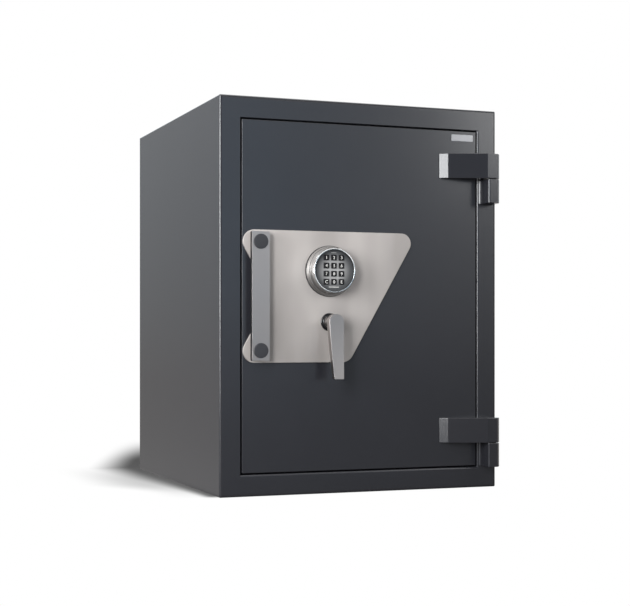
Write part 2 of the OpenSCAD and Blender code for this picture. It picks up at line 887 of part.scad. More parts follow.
// Points of the rounding of a corner: corner, directions of its two edges, radius
function arc_points(p, u, v, r) =
    let (mid = p + (u + v) / norm(u + v) * r / sqrt((1 - u * v) / 2),
         reach = r * sqrt((1 + u * v) / (1 - u * v)),
         a = p + u * reach - mid,
         b = p + v * reach - mid,
         a0 = atan2(a[1], a[0]),
         turn = (atan2(b[1], b[0]) - a0 + 540) % 360 - 180)
    [for (i = [0:arc_steps]) let (w = a0 + turn * i / arc_steps) mid + r * [cos(w), sin(w)]];

// Outline of the escutcheon: notch on the left, slanted edge on the right
module esc_outline() {
    s = sin(esc_slant);
    c = cos(esc_slant);
    t = s / c;
    tip_x = -plate_x - esc_left;
    top_x = -plate_x + esc_right;
    notch_x = -plate_x + esc_notch_x;
    tl = [tip_x, esc_z1];
    tr = [top_x, esc_z1];
    br = [top_x - esc_h * t, esc_z0];
    bl = [tip_x, esc_z0];
    notch = (notch_x - tip_x) / t;
    corners = [
        [tl, [s, -c], [1, 0], esc_tip_r],
        [tr, [-1, 0], [-s, -c], esc_top_r],
        [br, [s, c], [-1, 0], esc_low_r],
        [bl, [1, 0], [s, c], esc_tip_r]
    ];
    rounded = [for (k = corners) each arc_points(k[0], k[1], k[2], k[3])];
    polygon(concat(rounded, [[notch_x, esc_z0 + notch], [notch_x, esc_z1 - notch]]));
}

module escutcheon_plate() {
    color("#c4c3c0")
        difference() {
            slab(-esc_t, 0)
                esc_outline();
            rod_y(axis_x, axis_z, -esc_t - over, over, bush_r + fit_press);
            rod_y(axis_x, pad_z, -esc_t - over, over, cable_r + cable_gap);
            for (z = cap_zs())
                rod_y(bar_mid_x, z, -esc_t - over, over, shank_r + fit_loose);
        }
}

module pull_bar() {
    color("#a4a4a4")
        difference() {
            block(bar_mid_x - bar_w / 2, bar_mid_x + bar_w / 2, -bar_face, -bar_in,
                  esc_mid_z - bar_len / 2, esc_mid_z + bar_len / 2);
            for (z = cap_zs())
                rod_y(bar_mid_x, z, -bar_face - over, -bar_in + over, shank_r + fit_loose);
        }
}

module bar_standoffs() {
    color("#2b2d30")
        for (z = cap_zs())
            difference() {
                rod_y(bar_mid_x, z, -bar_in, -esc_t, standoff_r);
                rod_y(bar_mid_x, z, -bar_in - over, -esc_t + over, shank_r + fit_loose);
            }
}

module bar_caps() {
    color("#55585c")
        for (z = cap_zs()) {
            rod_y(bar_mid_x, z, -bar_face - cap_t, -bar_face, cap_r);
            rod_y(bar_mid_x, z, -bar_face - cap_t / 2, shank_in, shank_r);
        }
}

module keypad_gasket() {
    color("#1c1d1f")
        difference() {
            rod_y(axis_x, pad_z, -pad_in, -esc_t, keypad_r);
            rod_y(axis_x, pad_z, -pad_in - over, -esc_t + over, cable_r + cable_gap);
        }
}

// Turned cup with a tapering wall and a rounded lip
module keypad_housing() {
    wall = face_r + key_gap;
    lip = (lip_r - wall) / 2;
    foot_r = keypad_r - skirt_in;
    color("#c9cccf")
        turned(axis_x, pad_z) {
            polygon([
                [cable_r + cable_gap, pad_in],
                [foot_r, pad_in],
                [foot_r, pad_in + keypad_t * 0.28],
                [foot_r - skirt_bevel, pad_in + keypad_t * 0.4],
                [lip_r + lip_flare, pad_out - keypad_t * 0.18],
                [lip_r, pad_out - lip],
                [wall, pad_out - lip],
                [wall, pad_in + pad_wall],
                [cable_r + cable_gap, pad_in + pad_wall]
            ]);
            translate([lip_r - lip, pad_out - lip])
                circle(lip);
        }
}

// Middle of each key in the face
function key_pos(i) = [axis_x + (i % 3 - 1) * key_pitch, pad_z + key_up + (1.5 - floor(i / 3)) * key_pitch];

module keypad_face() {
    hole = key_side + 2 * key_gap;
    color("#3a3d41")
        difference() {
            rod_y(axis_x, pad_z, -face_out, -face_back, face_r);
            for (i = [0:11])
                block(key_pos(i)[0] - hole / 2, key_pos(i)[0] + hole / 2, -face_out - over, -face_back + over,
                      key_pos(i)[1] - hole / 2, key_pos(i)[1] + hole / 2);
        }
}

// One push key with the rim that keeps it in the face
module key(i) {
    a = key_side / 2;
    b = a + key_rim;
    p = key_pos(i);
    color("#16171a") {
        block(p[0] - a, p[0] + a, -face_out - key_out, -key_foot, p[1] - a, p[1] + a);
        block(p[0] - b, p[0] + b, -key_foot - key_rim_t, -key_foot, p[1] - b, p[1] + b);
    }
}

module keypad_board() {
    color("#2f5d3c")
        difference() {
            rod_y(axis_x, pad_z, -board_out, -board_out + board_t, face_r - pad_wall / 2);
            rod_y(axis_x, pad_z, -board_out - over, -board_out + board_t + over, cable_r + fit_loose);
        }
}

// Four cells in the back of the keypad
module battery_cells() {
    cell_y = front_y - pad_in - pad_wall - cell_r - fit_loose;
    color("#8d7d4b")
        for (s = [-1, 1], k = [-0.5, 0.5])
            translate([axis_x + s * cell_out + k * cell_pitch, cell_y, pad_z - cell_len / 2])
                cylinder(h = cell_len, r = cell_r);
}

// Cable from the circuit board through the door to the lock
module lock_cable() {
    color("#26282b")
        rod_y(axis_x, pad_z, -board_out, chassis_d, cable_r);
}

// Flanged bush that the spindle turns in
module lever_bush() {
    color("#1c1d1f")
        turned(axis_x, axis_z)
            polygon([
                [spindle_r + fit_run, -door_t],
                [bush_r, -door_t],
                [bush_r, esc_t],
                [bush_flange_r, esc_t],
                [bush_flange_r, esc_t + bush_flange_t],
                [collar_r, esc_t + bush_flange_t],
                [collar_r, bush_out],
                [spindle_r + fit_run, bush_out]
            ]);
}

// Lever outline from the front: round top, tapering to the tip
module lever_front() {
    tip_r = lever_tip_r;
    tip_z = axis_z - lever_len;
    translate([axis_x, axis_z])
        circle(lever_top_r);
    polygon([
        [axis_x - lever_top_r, axis_z],
        [axis_x + lever_top_r, axis_z],
        [axis_x + lever_tip_w, tip_z + tip_r],
        [axis_x - lever_tip_w, tip_z + tip_r]
    ]);
    translate([axis_x - lever_tip_w + tip_r, tip_z])
        square([2 * (lever_tip_w - tip_r), 2 * tip_r]);
    for (s = [-1, 1])
        translate([axis_x + s * (lever_tip_w - tip_r), tip_z + tip_r])
            circle(tip_r);
}

// Lever that leans out towards its tip, on a round neck
module lever_handle() {
    top_z = axis_z + lever_top_r + over;
    tip_z = axis_z - lever_len - over;
    color("#9c9c9a")
        difference() {
            union() {
                intersection() {
                    slab(-lever_out - lever_lean, 0)
                        lever_front();
                    translate([axis_x - 2 * lever_top_r, front_y, 0])
                        rotate([90, 0, 90])
                            linear_extrude(4 * lever_top_r)
                                polygon([
                                    [-lever_out, top_z],
                                    [-lever_out - lever_lean, tip_z],
                                    [-lever_out - lever_lean + lever_tip_t, tip_z],
                                    [-lever_out + lever_t, top_z]
                                ]);
                }
                rod_y(axis_x, axis_z, -neck_end, -neck_in, neck_r);
            }
            rod_y(axis_x, axis_z, -neck_end + socket_wall, 0, spindle_r + fit_press);
        }
}

module lever_spindle() {
    color("#b9bdc2")
        rod_y(axis_x, axis_z, -neck_end + socket_wall + socket_gap, cam_d0, spindle_r);
}

// Disc on the end of the spindle with the pin that drives the yoke
module drive_cam() {
    color("#a6aab0") {
        rod_y(axis_x, axis_z, cam_d0, cam_d1, cam_disc_r);
        rod_y(cam_pin_x, cam_pin_z, cam_d1 - over, yoke_d1, cam_pin_r);
    }
}

// Upright bar behind the bolts, with the slotted yoke arm and the lug that meets the tongue
module bolt_bar() {
    bar_z = 1.5 * bolt_pitch + bolt_r + bolt_bar_end;
    arm_x1 = cam_pin_x + cam_pin_r + cam_slot_gap + yoke_web;
    bar_x0 = bolt_end_x;
    bar_x1 = bolt_end_x + bolt_bar_t;
    notch = relock_r + relock_side;
    color("#a6aab0")
        difference() {
            union() {
                block(bar_x0, bar_x1, bolt_d - bolt_bar_w / 2, bolt_d + bolt_bar_w / 2,
                      mid_z - bar_z, mid_z + bar_z);
                block(bar_x1 - over, arm_x1, yoke_d0, yoke_d1, yoke_z0, yoke_z1);
                block(lug_x1 - lug_w, lug_x1, tongue_d0, yoke_d1, yoke_z1 - over, lug_z1);
            }
            block(cam_pin_x - cam_pin_r - cam_slot_gap, cam_pin_x + cam_pin_r + cam_slot_gap,
                  yoke_d0 - over, yoke_d1 + over, slot_z0, slot_z1);
            for (x = [relock_x, relock_x + bolt_throw])
                block(x - notch, x + notch, yoke_d0 - over, yoke_d1 + over, yoke_z0 - over,
                      relock_z1 + relock_travel + relock_side);
        }
}

// Four round bolts, drawn back
module lock_bolts() {
    color("#c2c6ca")
        for (z = bolt_zs)
            translate([tip_x, front_y + bolt_d, z])
                rotate([0, 90, 0])
                    rotate_extrude()
                        polygon([
                            [0, 0],
                            [bolt_r - bolt_cham, 0],
                            [bolt_r, bolt_cham],
                            [bolt_r, bolt_len],
                            [0, bolt_len]
                        ]);
}

// Blocks on the chassis that the bolts slide through
module bolt_guides() {
    half = bolt_r + guide_wall;
    color("#8f9297")
        for (z = bolt_zs)
            difference() {
                block(guide_x0, guide_x0 + guide_len, chassis_d, bolt_d + bolt_r + guide_back,
                      z - half, z + half);
                rod_x(guide_x0 - over, guide_x0 + guide_len + over, bolt_d, z, bolt_r + fit_run);
            }
}

// Lock case with a slot at its lower end for the tongue
module lock_case() {
    color("#777b80")
        difference() {
            block(axis_x - case_w / 2, axis_x + case_w / 2, chassis_d, case_d1, case_z0, case_z0 + case_h);
            rod_y(axis_x, pivot_z, tongue_d0 - tongue_gap, tongue_d0 + tongue_t + tongue_gap,
                  tongue_r + tongue_side);
            rod_y(axis_x, pivot_z, chassis_d + pivot_wall, case_d1 - pivot_wall, pivot_r + fit_run);
        }
}

// Round tongue with one flat side and its pivot pin
module lock_tongue() {
    pin_in = pivot_wall + pivot_play;
    color("#c9b067") {
        difference() {
            rod_y(axis_x, pivot_z, tongue_d0, tongue_d0 + tongue_t, tongue_r);
            block(axis_x - tongue_r - over, axis_x + tongue_r + over, tongue_d0 - over,
                  tongue_d0 + tongue_t + over, pivot_z - tongue_r - over, pivot_z - tongue_flat);
        }
        rod_y(axis_x, pivot_z, chassis_d + pin_in, case_d1 - pin_in, pivot_r);
    }
}

// Block below the yoke arm that holds the relocker pin
module relocker_case() {
    mid_d = (yoke_d0 + yoke_d1) / 2;
    half = relock_r + relock_wall;
    top = relock_z1 - relock_top;
    bottom = relock_z1 - relock_len - relock_play;
    color("#777b80")
        difference() {
            block(relock_x - half, relock_x + half, chassis_d, mid_d + relock_r + relock_wall / 3,
                  bottom - relock_foot, top);
            translate([relock_x, front_y + mid_d, bottom])
                cylinder(h = relock_len + relock_play, r = relock_r + fit_run);
        }
}

module relocker_pin() {
    color("#b9bdc2")
        translate([relock_x, front_y + (yoke_d0 + yoke_d1) / 2, relock_z1 - relock_len])
            cylinder(h = relock_len, r = relock_r);
}

frame_side_bars();
frame_cross_bars();
side_plates();
top_plate();
base_plate();
back_plate();
body_barrier();
channel_plates();
stop_plates();
liner_panels();
liner_floor();
door_seal();
anchor_sleeve();
hinge_blocks();
hinge_pins();
hinge_bearings();
shelf();
shelf_rails();
shelf_clips();
door_plate();
door_barrier();
door_pan();
bolt_chassis();
hard_plate();
door_cover();
hinge_straps();
dead_bar();
escutcheon_plate();
pull_bar();
bar_standoffs();
bar_caps();
keypad_gasket();
keypad_housing();
keypad_face();
keypad_board();
battery_cells();
lock_cable();
lever_bush();
bolt_guides();
lock_case();
relocker_case();
lever_handle();
lever_spindle();
drive_cam();
bolt_bar();
lock_bolts();
lock_tongue();
relocker_pin();
for (i = [0:11]) key(i);
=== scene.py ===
"""Looks of a compact composite safe: painted plate body, brushed lock plate, keypad, lever and
pull bar."""
import json
import math

import bpy
import numpy as np
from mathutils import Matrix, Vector
from mathutils.geometry import tessellate_polygon


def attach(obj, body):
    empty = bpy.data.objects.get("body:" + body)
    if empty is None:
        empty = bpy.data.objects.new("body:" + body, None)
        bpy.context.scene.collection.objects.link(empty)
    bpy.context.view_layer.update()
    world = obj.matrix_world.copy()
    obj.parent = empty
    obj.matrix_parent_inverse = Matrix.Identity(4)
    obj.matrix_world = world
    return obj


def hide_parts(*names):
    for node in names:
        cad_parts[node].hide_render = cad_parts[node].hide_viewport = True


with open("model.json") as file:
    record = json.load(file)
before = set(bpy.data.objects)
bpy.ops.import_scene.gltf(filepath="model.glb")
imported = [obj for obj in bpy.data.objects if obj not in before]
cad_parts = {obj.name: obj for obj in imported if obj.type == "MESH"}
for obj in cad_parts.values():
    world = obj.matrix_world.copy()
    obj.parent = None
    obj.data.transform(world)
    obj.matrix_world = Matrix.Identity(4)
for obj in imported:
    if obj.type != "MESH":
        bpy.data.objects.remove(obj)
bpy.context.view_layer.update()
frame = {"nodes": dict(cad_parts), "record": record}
nodes = frame["nodes"]

MM, MICRON = 0.001, 0.000001
FRONT_Y = -330.0  # front face of the frame, in millimetres
FLAT = 0.3  # width of the flat ring beside a round edge, in millimetres
SHARP = 25  # an edge stays crisp where its faces meet at more degrees than this


# Shapes, in millimetres


def front(x, z, out):
    """Points in metres from distances across, up, and out of the front face."""
    return np.stack(np.broadcast_arrays(x, FRONT_Y - np.asarray(out, float), z), -1) * MM


def upright(z0):
    """Placing of a plan (across, out of the front) that is raised from z0."""
    return lambda x, out, h: front(x, z0 + h, out)


def rounded(corners, radii, steps):
    """Closed outline with round corners: each corner becomes the arc that touches both its edges,
    whose centre lies on the corner's bisector at radius / sin(half the angle), with a point just
    outside each end of the arc that keeps the straight sides flat. A radius of 0 keeps the corner.
    Points that fall together are merged."""
    p = np.asarray(corners, float)
    r = np.broadcast_to(np.asarray(radii, float), len(p))
    u, v = np.roll(p, 1, 0) - p, np.roll(p, -1, 0) - p
    u /= np.linalg.norm(u, axis=1)[:, None]
    v /= np.linalg.norm(v, axis=1)[:, None]
    cosine = (u * v).sum(1)
    bisector = (u + v) / np.linalg.norm(u + v, axis=1)[:, None]
    centre = p + bisector * (r / np.sqrt((1 - cosine) / 2))[:, None]
    reach = (r * np.sqrt((1 + cosine) / (1 - cosine)))[:, None]
    a, b = p + u * reach - centre, p + v * reach - centre
    start = np.arctan2(a[:, 1], a[:, 0])
    turn = (np.arctan2(b[:, 1], b[:, 0]) - start + np.pi) % (2 * np.pi) - np.pi
    w = start[:, None] + turn[:, None] * np.linspace(0, 1, steps + 1)
    arcs = centre[:, None] + np.stack([np.cos(w), np.sin(w)], -1) * r[:, None, None]
    ends = reach + np.where(r > 0, FLAT, 0)[:, None]
    points = np.concatenate([(p + u * ends)[:, None], arcs, (p + v * ends)[:, None]], 1)
    points = points.reshape(-1, 2)
    together = 1e-6
    return points[np.linalg.norm(points - np.roll(points, 1, 0), axis=1) > together]


def rectangle(x0, x1, z0, z1, r, steps=8):
    """Rectangle with round corners, anticlockwise."""
    return rounded([(x0, z0), (x1, z0), (x1, z1), (x0, z1)], r, steps)


def circle(x, z, r, steps=48):
    """Circle, anticlockwise."""
    w = np.linspace(0, 2 * np.pi, steps, endpoint=False)
    return np.stack([x + r * np.cos(w), z + r * np.sin(w)], -1)


def arc(x, z, r, first, last, steps):
    """Points on a circle between two angles in degrees."""
    w = np.radians(np.linspace(first, last, steps))
    return np.stack([x + r * np.cos(w), z + r * np.sin(w)], -1)


def inset(outline, distances):
    """The outline moved inwards by each distance, along the mitre of its two edge normals."""
    edge = np.roll(outline, -1, 0) - outline
    normal = np.stack([edge[:, 1], -edge[:, 0]], -1) / np.linalg.norm(edge, axis=1)[:, None]
    before = np.roll(normal, 1, 0)
    mitre = (normal + before) / (1 + (normal * before).sum(1))[:, None]
    return outline - np.asarray(distances, float)[:, None, None] * mitre


def soft_edges(low, high, r_low, r_high, steps=4, flat=FLAT):
    """Profile of (inset, height) pairs between two heights: a quarter circle at each rim, with a
    narrow flat ring on both sides of it that keeps the faces flat."""
    a = np.linspace(0, np.pi / 2, steps + 1)
    foot = np.stack([r_low * (1 - np.sin(a)), low + r_low * (1 - np.cos(a))], -1)
    head = np.stack([r_high * (1 - np.cos(a)), high - r_high * (1 - np.sin(a))], -1)
    room = min(flat, (high - low - r_low - r_high) / 3)
    side = [(0, low + r_low + room), (0, high - r_high - room)]
    return np.concatenate([[(r_low + flat, low)], foot, side, head, [(r_high + flat, high)]])


def shell(grids, closed=False):
    """One solid from grids of rings: neighbouring rings are joined by four-sided faces, and the
    first and the last rings of all grids together bound its two end faces. With closed, the last
    ring of a grid joins its first. The faces are turned outwards by the sign of the volume they
    enclose."""
    points, walls, ends, first = [], [], ([], []), 0
    for rings in grids:
        count, around = rings.shape[:2]
        i = np.arange(count if closed else count - 1)[:, None]
        j = np.arange(around)[None]
        i2, j2 = (i + 1) % count, (j + 1) % around
        quads = [i * around + j, i * around + j2, i2 * around + j2, i2 * around + j]
        walls.append(np.stack(quads, -1).reshape(-1, 4) + first)
        ends[0].append(np.arange(around)[::-1] + first)
        ends[1].append(np.arange(around) + first + (count - 1) * around)
        points.append(rings.reshape(-1, 3))
        first += count * around
    points, walls = np.concatenate(points), np.concatenate(walls)
    triangles = np.concatenate([walls[:, [0, 1, 2]], walls[:, [0, 2, 3]]])
    caps = []
    for loops in () if closed else ends:
        ids = np.concatenate(loops)
        cap = ids[np.array(tessellate_polygon([points[loop].tolist() for loop in loops]))]
        rim = points[loops[0]]
        facing = np.cross(rim - rim.mean(0), np.roll(rim, -1, 0) - rim.mean(0)).sum(0)
        a, b, c = (points[cap[:, k]] for k in range(3))
        if (np.cross(b - a, c - a).sum(0) * facing).sum() < 0:
            cap = cap[:, ::-1]
        caps.append(cap)
    triangles = np.concatenate([triangles, *caps])
    a, b, c = (points[triangles[:, k]] - points.mean(0) for k in range(3))
    way = -1 if (np.cross(a, b) * c).sum() < 0 else 1
    return points, [face[::way] for part in (walls, *caps) for face in part.tolist()]


def prism(outline, profile, place=front, holes=()):
    """Outline carried along a profile: ring k is the outline moved in by inset k, at height k.
    Holes get the same profile, so their rims are soft too."""
    insets, heights = np.asarray(profile, float).T
    loops = [inset(loop, insets) for loop in (outline, *(hole[::-1] for hole in holes))]
    return shell([place(loop[..., 0], loop[..., 1], heights[:, None]) for loop in loops])


def turned(profile, x, z, steps=96, closed=False, hexes=0):
    """Profile of (radius, height) pairs turned about an axis that points out of the front at
    (x, z). The last few points may run round a hexagon, whose radius grows by 1 / cos towards its
    corners."""
    radius, height = np.asarray(profile, float).T[:, :, None]
    w = np.linspace(0, 2 * np.pi, steps, endpoint=False)
    six = 1 / np.cos((w + np.pi / 6) % (np.pi / 3) - np.pi / 6)
    last = np.arange(len(radius))[:, None] >= len(radius) - hexes
    radius = radius * np.where(last, six, 1.0)
    return shell([front(x + radius * np.cos(w), z + radius * np.sin(w), height)], closed)


def around(section, x0, x1, z0, z1, radius, wide=None):
    """Section of (distance, depth) pairs carried around a rectangle: each point becomes the
    rectangle grown by its distance, with the corner radius that the function gives for that
    distance. With wide, the right and bottom sides grow by those distances instead."""
    pairs = zip(section, section if wide is None else wide)
    loops = np.stack([rectangle(x0 - o, x1 + w, z0 - w, z1 + o, radius(o))
                      for (o, _), (w, _) in pairs])
    depth = np.asarray(section, float)[:, 1, None]
    return shell([front(loops[..., 0], loops[..., 1], -depth)], closed=True)


def piece(name, shells, finish, body, stands_for=(), sharp=SHARP):
    """One mesh from several shells, smooth except where faces meet at more than the sharp angle."""
    starts = np.cumsum([0] + [len(points) for points, _ in shells])
    faces = [[k + int(first) for k in face]
             for (_, part), first in zip(shells, starts) for face in part]
    mesh = bpy.data.meshes.new(name)
    mesh.from_pydata(np.concatenate([points for points, _ in shells]).tolist(), [], faces)
    dress(name, mesh, finish, body, stands_for, sharp)


def dress(name, mesh, finish, body, stands_for=(), sharp=SHARP):
    """Object of a mesh that already holds its place, with its finish, its body and the nodes it
    replaces."""
    mesh.polygons.foreach_set("use_smooth", np.ones(len(mesh.polygons), bool))
    mesh.set_sharp_from_angle(angle=math.radians(sharp))
    mesh.materials.clear()
    mesh.materials.append(finish)
    obj = bpy.data.objects.new(name, mesh)
    bpy.context.scene.collection.objects.link(obj)
    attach(obj, body)
    if stands_for:
        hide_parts(*stands_for)


# Finishes


def feed(tree, slot, value):
    """Links a wire to a socket, or sets the socket's own value."""
    if isinstance(value, Wire):
        tree.links.new(value.socket, slot)
    else:
        slot.default_value = value


class Wire:
    """A value in a node tree. Arithmetic on it adds Math nodes."""

    def __init__(self, tree, socket):
        self.tree, self.socket = tree, socket

    def math(self, operation, *values):
        """One Math node on wires and numbers."""
        node = self.tree.nodes.new("ShaderNodeMath")
        node.operation = operation
        for slot, value in zip(node.inputs, values):
            feed(self.tree, slot, value)
        return Wire(self.tree, node.outputs[0])

    def __add__(self, other):
        return self.math("ADD", self, other)

    def __sub__(self, other):
        return self.math("SUBTRACT", self, other)

    def __rsub__(self, other):
        return self.math("SUBTRACT", other, self)

    def __mul__(self, other):
        return self.math("MULTIPLY", self, other)

    def __lt__(self, other):
        return self.math("LESS_THAN", self, other)

    def __abs__(self):
        return self.math("ABSOLUTE", self)

    def root(self):
        return self.math("SQRT", self)

    def fract(self):
        return self.math("FRACT", self)

    def least(self, other):
        return self.math("MINIMUM", self, other)

    def most(self, other):
        return self.math("MAXIMUM", self, other)

    __radd__ = __add__
    __rmul__ = __mul__


class Finish:
    """A material, or the world, in the making."""

    def __init__(self, name, tree=None):
        self.material = None
        if tree is None:
            self.material = bpy.data.materials.new(name)
            self.material.use_nodes = True
            tree = self.material.node_tree
        self.tree = tree
        tree.nodes.clear()

    def node(self, kind, settings=None, sockets=None, out=0):
        """Any node: its settings first, then its sockets. Gives the output to go on with, if the
        node has any."""
        node = self.tree.nodes.new(kind)
        for key, value in (settings or {}).items():
            setattr(node, key, value)
        for key, value in (sockets or {}).items():
            feed(self.tree, node.inputs[key], value)
        return Wire(self.tree, node.outputs[out]) if len(node.outputs) else None

    def place(self, stretch=(1, 1, 1)):
        """Object coordinates in metres, stretched along the axes."""
        where = self.node("ShaderNodeTexCoord", out="Object")
        return self.node("ShaderNodeVectorMath", {"operation": "MULTIPLY"}, {0: where, 1: stretch})

    def axis(self, k, vector=None):
        """One object coordinate, or one part of a vector."""
        return self.node("ShaderNodeSeparateXYZ", None, {0: vector or self.place()}, out=k)

    def noise(self, scale, detail=2.0, stretch=(1, 1, 1)):
        """Smooth noise about 0.5, with so many waves per stretched metre."""
        return self.node("ShaderNodeTexNoise", None,
                         {"Vector": self.place(stretch), "Scale": scale, "Detail": detail})

    def tint(self, factor, low, high):
        """Colour between two colours."""
        return self.node("ShaderNodeMix", {"data_type": "RGBA"},
                         {0: factor, 6: low, 7: high}, out=2)

    def ramp(self, value, low, high):
        """0 below low and 1 above high, smooth between."""
        return self.node("ShaderNodeMapRange", {"interpolation_type": "SMOOTHSTEP"},
                         {"Value": value, "From Min": low, "From Max": high})

    def fade(self, value, low, high):
        """1 below low and 0 above high, smooth between."""
        return 1 - self.ramp(value, low, high)

    def band(self, value, start, full, wane, end):
        """Rises from start to full, and falls from wane to end."""
        return self.ramp(value, start, full) * self.fade(value, wane, end)

    def bump(self, height, distance):
        """Surface direction from a height, of which 1 stands for a distance in metres."""
        return self.node("ShaderNodeBump", None, {"Height": height, "Distance": distance})

    def seen(self):
        """Two values: 1 on rays from the camera, and 1 on rays from gloss or through glass. Both
        are 0 on rays that light the object."""
        camera, gloss, glass = (self.node("ShaderNodeLightPath", out=f"Is {kind} Ray")
                                for kind in ("Camera", "Glossy", "Transmission"))
        return camera, gloss + glass

    def surface(self, **sockets):
        """The shader, with its sockets by name."""
        named = {key.replace("_", " "): value for key, value in sockets.items()}
        return self.show(self.node("ShaderNodeBsdfPrincipled", None, named))

    def show(self, shader, kind="ShaderNodeOutputMaterial"):
        """Links a shader to the output, and gives the material."""
        self.node(kind, None, {"Surface": shader})
        return self.material


def shades(colour, spread):
    """A darker and a lighter version of a colour."""
    return [(*(c * k for c in colour), 1) for k in (1 - spread, 1 + spread)]


def enamel(name, colour, roughness, peel=40 * MICRON):
    """Baked coat: even colour with a faint cloud, and the fine skin of sprayed powder."""
    f = Finish(name)
    cloud = f.noise(7, 3)
    skin = f.noise(420) + 0.6 * f.noise(1100, 1)
    return f.surface(Base_Color=f.tint(cloud, *shades(colour, 0.10)),
                     Roughness=roughness + 0.03 * (f.noise(16) - 0.5), Normal=f.bump(skin, peel))


def brushed(name, colour, roughness, spread=0.05, uneven=0.0, drawn=0.0):
    """Metal brushed upright: fine lines from a noise that is stretched along the height, over the
    soft uneven sheen of rolled sheet. Drawn pulls the gloss out across the lines."""
    f = Finish(name)
    lines = f.noise(1.0, 3, (1700, 1700, 14))
    sheen = 0.3 + 0.4 * lines + uneven * (f.noise(11, 2, (1, 1, 0.4)) - 0.5)
    return f.surface(Base_Color=f.tint(sheen, *shades(colour, spread)), Metallic=1.0,
                     Roughness=roughness + 0.14 * (lines - 0.5) + 0.06 * (f.noise(9) - 0.5),
                     Normal=f.bump(lines, 10 * MICRON), Anisotropic=drawn)


def polished(name, colour, roughness):
    """Plated metal with faint smears."""
    f = Finish(name)
    smear = f.noise(55, 3, (1, 1, 0.4))
    return f.surface(Base_Color=f.tint(smear, *shades(colour, 0.04)), Metallic=1.0,
                     Roughness=roughness + 0.08 * (smear - 0.4))


def moulded(name, colour, roughness, grain=20 * MICRON, gloss=0.5):
    """Moulded plastic or rubber with a fine pebbled skin."""
    f = Finish(name)
    skin = f.noise(1500)
    return f.surface(Base_Color=f.tint(f.noise(30), *shades(colour, 0.12)),
                     Specular_IOR_Level=gloss,
                     Roughness=roughness + 0.12 * (skin - 0.5), Normal=f.bump(skin, grain))


def machined(name, colour, roughness, spread=0.08):
    """Bare or plated steel with cloudy plating and short tool marks."""
    f = Finish(name)
    marks = f.noise(1.0, 3, (60, 900, 900))
    cloud = f.noise(40, 3)
    return f.surface(Base_Color=f.tint(cloud, *shades(colour, spread)), Metallic=1.0,
                     Roughness=roughness + 0.16 * (marks - 0.5) + 0.08 * (cloud - 0.5),
                     Normal=f.bump(marks, 12 * MICRON))


def cast(name, colour, roughness, scale, depth, metallic=0.0):
    """Cast surface: coarse grains with small pores."""
    f = Finish(name)
    grains = f.noise(scale, 5)
    pores = f.ramp(f.noise(scale * 2.3), 0.30, 0.42)
    return f.surface(Base_Color=f.tint(grains * pores, *shades(colour, 0.30)), Metallic=metallic,
                     Roughness=roughness + 0.1 * (grains - 0.5),
                     Normal=f.bump(grains + pores, depth))


def banded(name, low, high, roughness, per_metre):
    """Printed sleeve or board: two colours in bands up the height."""
    f = Finish(name)
    band = f.ramp((f.axis(2) * per_metre).fract(), 0.45, 0.55)
    return f.surface(Base_Color=f.tint(band, (*low, 1), (*high, 1)),
                     Roughness=roughness + 0.1 * (f.noise(300) - 0.5))


PAD_X, PAD_Z, LEVER_Z = -75.0, 452.5, 349.0  # middle of the keypad, and the lever's axis below it


def keypad_print(name, rim, middle):
    """Keypad face: satin plastic that is lighter in the middle of the key field, with a thin plain
    line above the keys and a bolder one below."""
    f = Finish(name)
    dx, dz = f.axis(0) - PAD_X * MM, f.axis(2) - PAD_Z * MM

    def line(z, half, thick):
        """1 on a level line at a height over the middle, of a half length and half thickness."""
        return (abs(dx) < half * MM) * (abs(dz - z * MM) < thick * MM)

    field = f.ramp((dx * dx + dz * dz).root(), 12 * MM, 41 * MM)
    ink = 0.35 * line(36.5, 5.5, 0.6) + 0.8 * line(-33.0, 11.0, 0.8)
    shade = f.tint(ink, f.tint(field, (*middle, 1), (*rim, 1)), (0.62, 0.62, 0.60, 1))
    skin = f.noise(1500)
    return f.surface(Base_Color=shade, Roughness=0.34 + 0.1 * (skin - 0.5),
                     Normal=f.bump(skin, 10 * MICRON))


